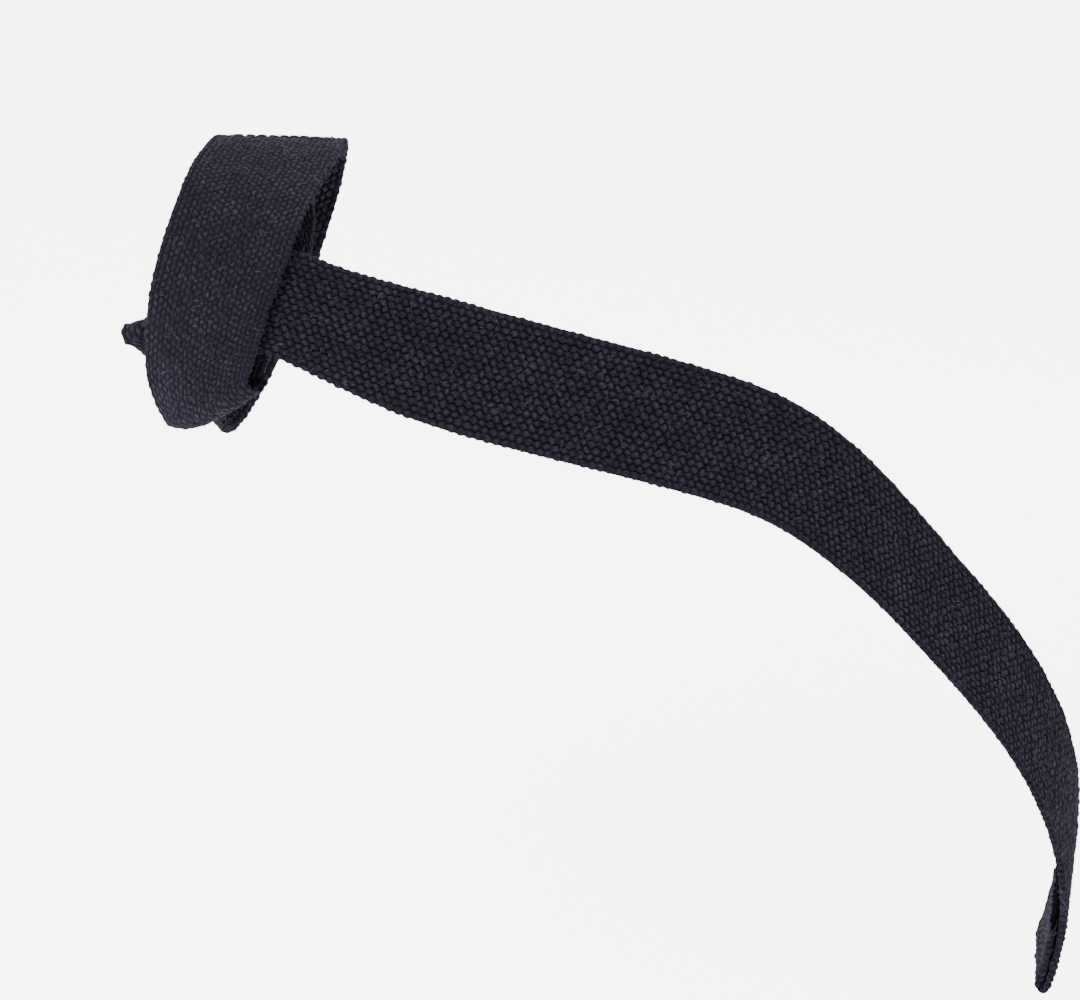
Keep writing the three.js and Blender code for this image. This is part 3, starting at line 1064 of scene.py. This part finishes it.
# %% Pieces and the body they ride
extras = rib_pieces + [selvages, stitches, fibres]
for piece in [core] + extras:
    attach(piece, "root")
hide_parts("webbing_strap")
print(1 + len(extras), "pieces ride the one body")

# %% [markdown]
# ## Backdrop and light
# A pale sheet of paper that sweeps up behind the strap gives an even white ground. Dark cloth
# needs broad soft light, or its weave drowns: one large lamp high on the left, a weak one on
# the right, and one above and behind to draw the edges.

# %% A swept backdrop, m
FLOOR = -0.262
WALL_AT, WALL_TOP, SWEEP = 1.3, 3.0, 0.6
SWEEP_STEPS = 16
FAR = 30.0


def sweep_mesh():
    profile = [(-FAR, FLOOR)]
    for k in range(SWEEP_STEPS + 1):
        angle = math.pi / 2 * k / SWEEP_STEPS
        forward, rise = SWEEP * math.sin(angle), SWEEP * (1 - math.cos(angle))
        profile.append((WALL_AT - SWEEP + forward, FLOOR + rise))
    profile.append((WALL_AT, WALL_TOP))
    corners = [(x, y, z) for y, z in profile for x in (-FAR, FAR)]
    faces = [(2 * k, 2 * k + 1, 2 * k + 3, 2 * k + 2) for k in range(len(profile) - 1)]
    mesh = bpy.data.meshes.new("backdrop")
    mesh.from_pydata(corners, [], faces)
    for polygon in mesh.polygons:
        polygon.use_smooth = True
    return mesh


backdrop = place_piece("backdrop", sweep_mesh())
print("backdrop:", len(backdrop.data.polygons), "faces")

# %% Matt white paper
# It looks brighter than it lights, so that it doesn't wash out the cloth's underside.
PAPER_SEEN, PAPER_LIGHTS = 3.4, 1.2
WHITE = linear("#ffffff")

paper = bpy.data.materials.new("matt_white_paper")
paper.use_nodes = True
paper_tree = paper.node_tree
paper_shader = paper_tree.nodes["Principled BSDF"]
paper_shader.inputs["Base Color"].default_value = WHITE
paper_shader.inputs["Roughness"].default_value = 0.9
paper_shader.inputs["Emission Color"].default_value = WHITE
seen = add(paper_tree, "ShaderNodeLightPath").outputs["Is Camera Ray"]
glow = maths(paper_tree, "MULTIPLY_ADD", seen, PAPER_SEEN - PAPER_LIGHTS, PAPER_LIGHTS)
paper_tree.links.new(glow, paper_shader.inputs["Emission Strength"])
backdrop.data.materials.append(paper)
print("paper glows at", PAPER_SEEN, "to the camera and", PAPER_LIGHTS, "to the cloth")

# %% Soft lamps and a white room
STRAP_MIDDLE = Vector((0.12, 0, -0.08))
ROOM_LIGHT = 1.3


def soft_lamp(name, at, size, watts):
    """A square-cornered soft lamp, placed and sized in metres, that faces the strap."""
    data = bpy.data.lights.new(name, "AREA")
    data.shape = "RECTANGLE"
    data.size, data.size_y = size
    data.energy = watts
    lamp = bpy.data.objects.new(name, data)
    lamp.location = at
    lamp.rotation_euler = (STRAP_MIDDLE - Vector(at)).to_track_quat("-Z", "Y").to_euler()
    bpy.context.collection.objects.link(lamp)
    return lamp


key = soft_lamp("key", (-0.9, -0.9, 1.2), (0.9, 0.9), 62)
fill = soft_lamp("fill", (1.3, -1.0, 0.5), (1.2, 1.2), 7)
edge = soft_lamp("edge", (0.2, 0.7, 1.3), (1.4, 0.6), 16)
world = bpy.data.worlds.new("studio")
world.use_nodes = True
room = world.node_tree.nodes["Background"]
room.inputs["Color"].default_value = WHITE
room.inputs["Strength"].default_value = ROOM_LIGHT
bpy.context.scene.world = world
print("lamps:", [(lamp.name, round(lamp.data.energy)) for lamp in (key, fill, edge)], "W")
